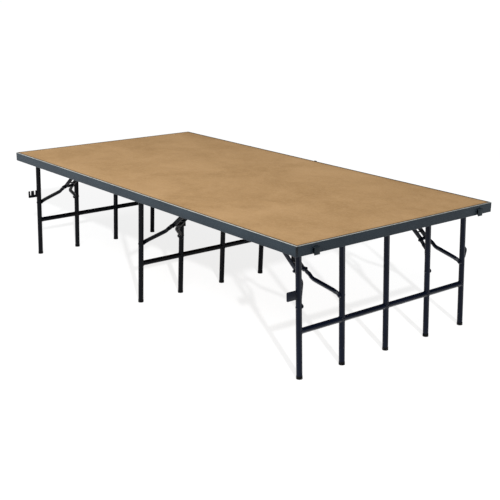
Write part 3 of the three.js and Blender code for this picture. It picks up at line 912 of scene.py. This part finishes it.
def leg_frame():
    foot_top = -(LEG_LENGTH - 5 - FOOT_SOLE)
    legs = group(*[rod((0, y, -2), (0, y, foot_top), LEG_R, 40) for y in LEG_Y])
    hinge_tube = rod((0, -HINGE_END, 0), (0, HINGE_END, 0), HINGE_R, 40, 0.5)
    bar = rod((0, LEG_Y[0], BAR_Z), (0, LEG_Y[-1], BAR_Z), BAR_R, 36)
    rivets, heads = [], []
    for leg, s in PINNED_LEGS:
        def turned(offset, way, profile, sides=28):
            return lathe((0, LEG_Y[leg] + s * offset, PIN_Z), (0, s * way, 0), profile, sides)

        def dome(offset, way, radius, height):
            return dome_head((0, LEG_Y[leg] + s * offset, PIN_Z), (0, s * way, 0), radius, height)

        rivets.append(turned(2 - LEG_R, 1, [(0, 4.2), (LEG_R - 2 + 21.6, 4.2)], 20))
        # washer and head on the leg's free side, then over the arm's tab
        heads += [turned(2.2 - LEG_R, -1, [(0, 6.6), (2.2, 6.6), (2.5, 6.3)]),
                  dome(-LEG_R - 0.2, -1, 5.6, 1.7),
                  turned(18.8, 1, [(0, 8.2), (1.0, 8.2), (1.2, 7.9)]),
                  dome(19.9, 1, 6.6, 3.0)]
    bore = lathe((0, -HINGE_END - 2, 0), (0, 1, 0),
                 [(0, HINGE_BORE_R), (2 * HINGE_END + 4, HINGE_BORE_R)], 36)
    tubes = combine(legs, ("+", hinge_tube), ("+", bar), ("+", group(*rivets)), ("-", bore))
    return group(tubes, *leg_welds(), *heads)


def foot():
    """Slip-on tip about the leg axis, from z = 0: thick rim at the base, then two grooves."""
    r, bore, bore_low = FOOT_R, LEG_R + 0.3, 11.0
    profile = [(0, 0), (0, r - 0.6), (0.5, r), (3.2, r), (3.8, r - 0.3), (4.6, r - 0.3),
               (5.2, r - 0.1), (9.0, r - 0.15), (9.5, r - 0.4), (10.1, r - 0.4),
               (10.6, r - 0.15), (13.4, r - 0.2), (14.2, r - 0.3), (14.7, r - 0.45),
               (14.6, bore), (bore_low, bore), (bore_low, 0)]
    return lathe((0, 0, 0), (0, 0, 1), profile, 40)


def gang_plate(slotted):
    """Plate in front of the first leg, welded to it at its root; slots open at the top."""
    middle, half_height, width = leg_z(14.55 * INCH), 20, 52
    root = LEG_Y[0] - LEG_R - 0.3
    tip, low, top = root - width, middle - half_height, middle + half_height
    if slotted:
        floor_z = middle - 6
        # (y, z, corner radius)
        corners = [(tip, low, 4), (root, low, 1.5), (root, top, 1.5)]
        for y, half in ((root - 13, 4), (root - 39, 3)):
            side = [(half + 1.0, top, 1.6), (half, floor_z + 4, 0), (half, floor_z, half - 0.05)]
            corners += [(y + a, z, r) for a, z, r in side]
            corners += [(y - a, z, r) for a, z, r in reversed(side)]
        corners += [(tip, top, 3)]
    else:
        corners = [(tip, low, 5), (root, low, 1.5), (root, top, 1.5), (tip, top, 5)]
    outline = rounded([(y, z) for y, z, r in corners], [r for y, z, r in corners], 5)
    plate = prism(outline, on_yz, -2, 2, 0.6, 3)
    # weld run down both sides of the root
    welds = []
    for s in (-1, 1):
        draw = random.Random(31 + s)
        rings = []
        for k in range(33):
            radius = ((2.2 + 0.22 * math.sin(k * 2.1) + draw.uniform(-0.08, 0.08))
                      * (1 - 0.75 * (abs(k - 16) / 16) ** 6))
            centre = Vector((s * 1.9, root + 0.3, middle - 18 + 36 * k / 32))
            turns = [2 * math.pi * j / 10 for j in range(10)]
            rings.append([centre + Vector((math.cos(t) * radius, math.sin(t) * radius, 0))
                          for t in turns])
        welds.append(loft(rings))
    return group(plate, *welds)


def gang_keeper():
    """Slotted block on the back of the last leg."""
    root, middle = LEG_Y[-1] + LEG_R + 0.3, leg_z(14.2 * INCH)

    def place(a, b, depth):
        return Vector((depth, root + a, middle + b))

    outline = rounded([(0, -27), (4, -27), (14, 4), (14, 14), (3, 27), (0, 27)],
                      [0.8, 1.5, 3, 4, 2.5, 0.8], 5)
    slot = rounded([(6.5, -8), (9.5, -8), (9.5, 10), (6.5, 10)], 1.2)
    return combine(prism(outline, place, -6, 6, 1.0, 3), ("-", prism(slot, place, -10, 10, 0)))


LEGS = leg_frame()
FOOT = foot()
GANG_PLATES = {"far": gang_plate(True), "near": gang_plate(False)}
KEEPER = gang_keeper()

# ------------------------------------------------------------------ brace arm
# About the middle of its pair, on the first leg's side: a tube flattened to a tab at both ends.
TUBE_R = 9.9
TAB_HALF_HEIGHT, TAB_HALF_THICK, END_R = 10.6, 2.5, 10
KNUCKLE_OUT, NECK_HALF_THICK = 5.0, 7.5   # tube's stand-off from the knuckle's plane; its neck
NOSE = (0.0, 0.12, 0.5, 1.2, 2.2, 3.6, 5.4, 7.4)   # close stations in from a round end


def smooth(t):
    t = max(0.0, min(1.0, t))
    return t * t * (3 - 2 * t)


def arm_line():
    """Middle line in (distance from the pin, y): straight, bent towards the middle, straight."""
    leg_side, knuckle_side = PAIR_LEG_Y + 15.6, KNUCKLE_Y - KNUCKLE_OUT
    far_end = ARM_LENGTH + END_R
    corners = [(-END_R, leg_side), (19.0, leg_side), (114.0, knuckle_side),
               (far_end, knuckle_side)]
    line = [Vector(corners[0])]
    for i, radius in ((1, 24.0), (2, 30.0)):
        centre, angles = corner_arc(corners[i - 1], corners[i], corners[i + 1], radius, 10)
        line += [centre + Vector((math.cos(q), math.sin(q))) * radius for q in angles]
    line.append(Vector(corners[3]))
    spacing = 3.0
    points = [line[0]]
    for p in line[1:]:
        start = points[-1]
        count = max(1, int((p - start).length / spacing))
        points += [start.lerp(p, k / count) for k in range(1, count + 1)]
    # round ends need closer stations
    return ([Vector((-END_R + x, line[0].y)) for x in NOSE]
            + [p for p in points if -1 < p.x < ARM_LENGTH + 1]
            + [Vector((far_end - x, line[-1].y)) for x in reversed(NOSE)])


def arm_ring(p, tangent):
    """Section of the arm at a point of its middle line."""
    d = p.x
    to_tube = smooth((d - 10) / 24)
    to_neck = smooth((d - 98) / 20)
    to_tab = smooth((d - 136) / 18)
    half_height = (TAB_HALF_HEIGHT + (TUBE_R - TAB_HALF_HEIGHT) * to_tube
                   + (TAB_HALF_HEIGHT - TUBE_R) * to_tab)
    half_thick = (TAB_HALF_THICK + (TUBE_R - TAB_HALF_THICK) * to_tube
                  - (TUBE_R - NECK_HALF_THICK) * to_neck
                  - (NECK_HALF_THICK - TAB_HALF_THICK) * to_tab)
    # keep clear of the leg, and come back to the knuckle's plane at the end
    clear = PAIR_LEG_Y + LEG_R + 0.1 + half_thick / max(0.75, tangent.x)
    y = max(p.y, clear) + KNUCKLE_OUT * to_tab
    # round off both ends, in height and then in thickness
    past = max(-d, d - ARM_LENGTH)
    if past > 4:
        half_height = math.sqrt(max(0.3, END_R ** 2 - past * past))
    elif past > 0:
        half_height += math.sqrt(END_R ** 2 - past * past) - END_R
    left = min(d + END_R, ARM_LENGTH + END_R - d)
    if left < 2.0:
        half_thick *= 0.45 + 0.55 * math.sqrt(max(0.0, 1 - (1 - left / 2.0) ** 2))
    # 2 makes an ellipse, more a squarer section
    power = 2.0 + 2.6 * max(1 - to_tube, to_tab)
    across = square_to(tangent)
    ring = []
    for k in range(28):
        t = 2 * math.pi * k / 28
        c, s = math.cos(t), math.sin(t)
        high = math.copysign(abs(c) ** (2 / power), c) * half_height
        out = math.copysign(abs(s) ** (2 / power), s) * half_thick
        along = d + across.x * out
        ring.append(Vector((PIN_U + ARM_DIR.x * along - ARM_DIR.z * high, y + across.y * out,
                            PIN_HEIGHT + ARM_DIR.z * along + ARM_DIR.x * high)))
    return ring


def brace_arm():
    line = arm_line()
    rings = []
    for i, p in enumerate(line):
        before, after = line[max(0, i - 1)], line[min(len(line) - 1, i + 1)]
        rings.append(arm_ring(p, (after - before).normalized()))
    hole = rod((PIN_U, PAIR_LEG_Y + 8, PIN_HEIGHT), (PIN_U, PAIR_LEG_Y + 26, PIN_HEIGHT), 5.0, 24)
    collar = lathe((KNUCKLE_U, KNUCKLE_Y - 2.2, KNUCKLE_Z), (0, -1, 0),
                   [(0, 8.4), (1.6, 8.4), (1.9, 8.0)])
    nub = lathe((KNUCKLE_U, KNUCKLE_Y - 1.8, KNUCKLE_Z), (0, -1, 0),
                [(0, 6.4), (9.2, 6.4), (10.3, 5.9), (10.9, 4.9), (11.2, 3.2), (11.3, 0)])
    return combine(loft(rings), ("-", hole), ("+", collar), ("+", nub))


def brace_link():
    """Two straps from the knuckle to the bracket, joined by a bar and a thinner tie."""
    strap_y, half_thick = 0.8 * INCH, 2.4
    face = strap_y + half_thick
    outline = strap_outline((KNUCKLE_U, KNUCKLE_Z), (BRACKET_U, BRACKET_Z), 11.2, 14)

    def cross(distance, y, way, profile, sides):
        """Turned part across the link, at a distance along it from the knuckle."""
        u, z = KNUCKLE_U + LINK_DIR.x * distance, KNUCKLE_Z + LINK_DIR.z * distance
        return lathe((u, y, z), (0, way, 0), profile, sides)

    straps = group(*[prism(outline, on_xz, s * strap_y - half_thick, s * strap_y + half_thick,
                           0.9, 3) for s in (-1, 1)])
    bar_at, tie_at = 5, 46
    bar = cross(bar_at, -strap_y, 1, [(0, 8.6), (2 * strap_y, 8.6)], 32)
    tie = cross(tie_at, -strap_y, 1, [(0, 3.6), (2 * strap_y, 3.6)], 20)
    collars = group(
        *[cross(bar_at, s * (face - 2 * half_thick + 0.0) if False else s * (strap_y - 4.6), s,
                [(0, 9.8), (0.4, 10.4), (3.4, 10.4)], 32) for s in (-1, 1)],
        *[cross(tie_at, s * (strap_y - 4.0), s,
                [(0, 4.8), (0.4, 5.4), (2.6, 5.4)], 24) for s in (-1, 1)])
    tie_u, tie_z = KNUCKLE_U + LINK_DIR.x * tie_at, KNUCKLE_Z + LINK_DIR.z * tie_at
    heads = group(*[dome_head((tie_u, s * (face - 0.1), tie_z), (0, s, 0), 5.0, 0.75)
                    for s in (-1, 1)])
    hole = rod((BRACKET_U, -40, BRACKET_Z), (BRACKET_U, 40, BRACKET_Z), 5.3, 24)
    return combine(straps, ("+", bar), ("+", tie), ("+", collars), ("+", heads), ("-", hole))


ARM = brace_arm()
LINK = brace_link()


# ------------------------------------------------------------------ put the frames in
def put_frame(f):
    way, x0, legs = FACING[f], FOLD[f].x - MIDDLE_X, f + "_legs"
    rotation = Matrix.Rotation(way * SPLAY, 3, "Y")
    hinge = Vector((x0, 0, HINGE_Z))

    def under_beam(p):
        return p + Vector((x0, 0, 0))

    def on_leg(p):
        return rotation @ p + hinge

    def in_pair(pair, start=0, side=1):
        """Place about a pair's middle, turned to face the frame's way; side -1 mirrors Y."""
        return lambda p: Vector((x0 + way * (start + p.x), PAIR_Y[pair] + side * p.y, p.z))

    piece(f"hinge_beam_{f}_channel", BEAM, INNER_PAINT,
          node=f"hinge_beam_{f}", place=under_beam)
    piece(f"hinge_beam_{f}_bolts", BEAM_BOLTS, ZINC, place=under_beam)
    for pair in PAIR_Y:
        name, place = f"brace_bracket_{f}_{pair}", in_pair(pair, start=BRACKET_U)
        piece(name + "_plate", BRACKET, INNER_PAINT,
              node=name, place=place, flip=way < 0)
        piece(name + "_screws", BRACKET_SCREWS, ZINC, place=place, flip=way < 0)
    piece(f"leg_frame_{f}_tubes", LEGS, LEG_PAINT, legs,
          node=f"leg_frame_{f}", place=on_leg, sharp=30)
    for k, y in enumerate(LEG_Y):
        def foot_place(p):
            """On the leg, with what would dip under the floor pressed flat."""
            q = on_leg(p + Vector((0, y, -(LEG_LENGTH + FOOT_SOLE))))
            q.z = max(0.0, q.z)
            return q

        name = f"foot_{f}_{k + 1}"
        piece(name + "_tip", FOOT, PLASTIC, legs,
              node=name, place=foot_place, sharp=28)
    if f in GANG_PLATES:
        for name, shell in (("gang_plate_" + f, GANG_PLATES[f]), ("gang_keeper_" + f, KEEPER)):
            piece(name + "_body", shell, LEG_PAINT, legs, node=name, place=on_leg)
    for pair in PAIR_Y:
        for letter, side in (("a", 1), ("b", -1)):
            name = f"brace_arm_{f}_{pair}_{letter}"
            piece(name + "_tube", ARM, LEG_PAINT, f"{f}_{pair}_arms", node=name,
                  place=in_pair(pair, side=side), flip=way * side < 0, sharp=38)
        name = f"brace_link_{f}_{pair}"
        piece(name + "_straps", LINK, LEG_PAINT, f"{f}_{pair}_link", node=name,
              place=in_pair(pair), flip=way < 0)


for f in FACING:
    put_frame(f)


# ------------------------------------------------------------------ stage (metres)
def floor_material():
    """Pale to the camera and glowing towards white far off, greyer in the light it gives back."""
    m = Material("floor_pale")
    colour = m.blend((0.90, 0.90, 0.90), (0.93, 0.93, 0.93), by=m.noise(scale=0.7),
                     span=(0.3, 0.7))
    rays = m.add("LightPath").outputs
    seen = m.calc("MAXIMUM", rays["Is Camera Ray"], rays["Is Glossy Ray"])
    colour = m.mix(seen, (0.52, 0.52, 0.52), colour)
    diffuse = m.add("BsdfDiffuse", {"Color": colour})
    glow = m.add("Emission", {"Color": (1, 1, 1, 1), "Strength": 1.02})
    distance = m.add("VectorMath", {0: m.coords}, operation="LENGTH").outputs["Value"]
    glow_share = m.times(rays["Is Camera Ray"], m.ramp(distance, span=(2.2, 5.0), to=(0.80, 1.0)))
    surface = m.add("MixShader", {0: glow_share, 1: diffuse.outputs[0], 2: glow.outputs[0]})
    # clear from below, so that the underside can be looked at
    clear = m.add("BsdfTransparent")
    backfacing = m.add("NewGeometry").outputs["Backfacing"]
    below = m.times(backfacing, rays["Is Camera Ray"])
    return m.finish(m.add("MixShader", {0: below, 1: surface.outputs[0], 2: clear.outputs[0]}))


def floor():
    half = 60.0
    mesh = bpy.data.meshes.new("floor")
    mesh.from_pydata([(-half, -half, 0), (half, -half, 0), (half, half, 0), (-half, half, 0)],
                     [], [(0, 1, 2, 3)])
    obj = bpy.data.objects.new("floor", mesh)
    scene.collection.objects.link(obj)
    mesh.materials.append(floor_material())
    return obj


def studio_world():
    """White to the camera, soft as light, and dim in reflections above the floor."""
    world = bpy.data.worlds.new("studio")
    scene.world = world
    world.use_nodes = True
    tree = world.node_tree
    tree.nodes.clear()
    output = tree.nodes.new("ShaderNodeOutputWorld")
    rays = tree.nodes.new("ShaderNodeLightPath").outputs

    def background(colour, strength):
        node = tree.nodes.new("ShaderNodeBackground")
        node.inputs[0].default_value = (*colour, 1)
        node.inputs[1].default_value = strength
        return node

    def switch(ray, otherwise, shader):
        node = tree.nodes.new("ShaderNodeMixShader")
        tree.links.new(rays[ray], node.inputs[0])
        tree.links.new(otherwise.outputs[0], node.inputs[1])
        tree.links.new(shader.outputs[0], node.inputs[2])
        return node

    lighting = background(colour=(0.96, 0.98, 1.0), strength=0.30)
    backdrop = background(colour=(1, 1, 1), strength=1.0)
    reflected = background(colour=(0.90, 0.95, 1.0), strength=0.07)
    room = switch("Is Glossy Ray", lighting, reflected)
    tree.links.new(switch("Is Camera Ray", room, backdrop).outputs[0], output.inputs[0])


def light(name, kind, energy, direction):
    """Light shining along a direction."""
    data = bpy.data.lights.new(name, kind)
    data.energy = energy
    obj = bpy.data.objects.new(name, data)
    scene.collection.objects.link(obj)
    obj.rotation_euler = Vector(direction).to_track_quat("-Z", "Y").to_euler()
    return obj


def area(name, location, target, size, power):
    lamp = light(name, "AREA", power, Vector(target) - Vector(location))
    lamp.location = location
    lamp.data.shape = "RECTANGLE"
    lamp.data.size, lamp.data.size_y = size
    return lamp


def sun(name, energy, spread, direction, receivers):
    """Sun that lights only the receivers; spread is its angle in degrees."""
    lamp = light(name, "SUN", energy, direction)
    lamp.data.angle = math.radians(spread)
    lamp.light_linking.receiver_collection = receivers


FLOOR = floor()
studio_world()
LAMPS = (area("key_soft", location=(-3.2, -4.6, 3.8), target=(-0.4, 0, 0.4),
              size=(4.0, 2.4), power=300),
         area("top_soft", location=(1.5, -1.1, 5.0), target=(0.3, 0, 0.5),
              size=(4.5, 3.5), power=172),
         area("end_soft", location=(2.6, -4.4, 0.45), target=(1.1, -0.5, 0.35),
              size=(1.8, 0.4), power=5))

only_floor = bpy.data.collections.new("lit_by_floor_sun")
only_floor.objects.link(FLOOR)
# a low sun for the pale shadows, and a broad high one for the soft shade under the deck
sun("floor_sun", energy=6.5, spread=1.6, direction=(-2.42, 1.25, -1.0), receivers=only_floor)
sun("floor_high", energy=1.5, spread=16, direction=(-0.85, 0.80, -1.0), receivers=only_floor)
# the soft lamps leave the floor alone
not_floor = bpy.data.collections.new("not_the_floor")
not_floor.objects.link(FLOOR)
not_floor.collection_objects[0].light_linking.link_state = "EXCLUDE"
for lamp in LAMPS:
    lamp.light_linking.receiver_collection = not_floor


def camera():
    """Camera near the front of the near end, looking down along the deck."""
    data = bpy.data.cameras.new("camera")
    data.lens = 70.2784
    data.sensor_width = 36.0
    data.clip_end = 200.0
    obj = bpy.data.objects.new("camera", data)
    scene.collection.objects.link(obj)
    right = Vector((0.6296331, 0.7768457, 0.0085413))
    up = Vector((-0.2257172, 0.1724015, 0.9588167))
    view = Vector((-0.7433801, 0.6056306, -0.2838971))
    place = Vector((3.953558 + MIDDLE_X / 1000, -3.074140 + MIDDLE_Y / 1000, 1.681627))
    rotation = Matrix((right, up, -view)).transposed()
    obj.matrix_world = Matrix.Translation(place) @ rotation.to_4x4()
    scene.camera = obj


camera()
scene.view_settings.view_transform = "Standard"
scene.view_settings.look = "None"
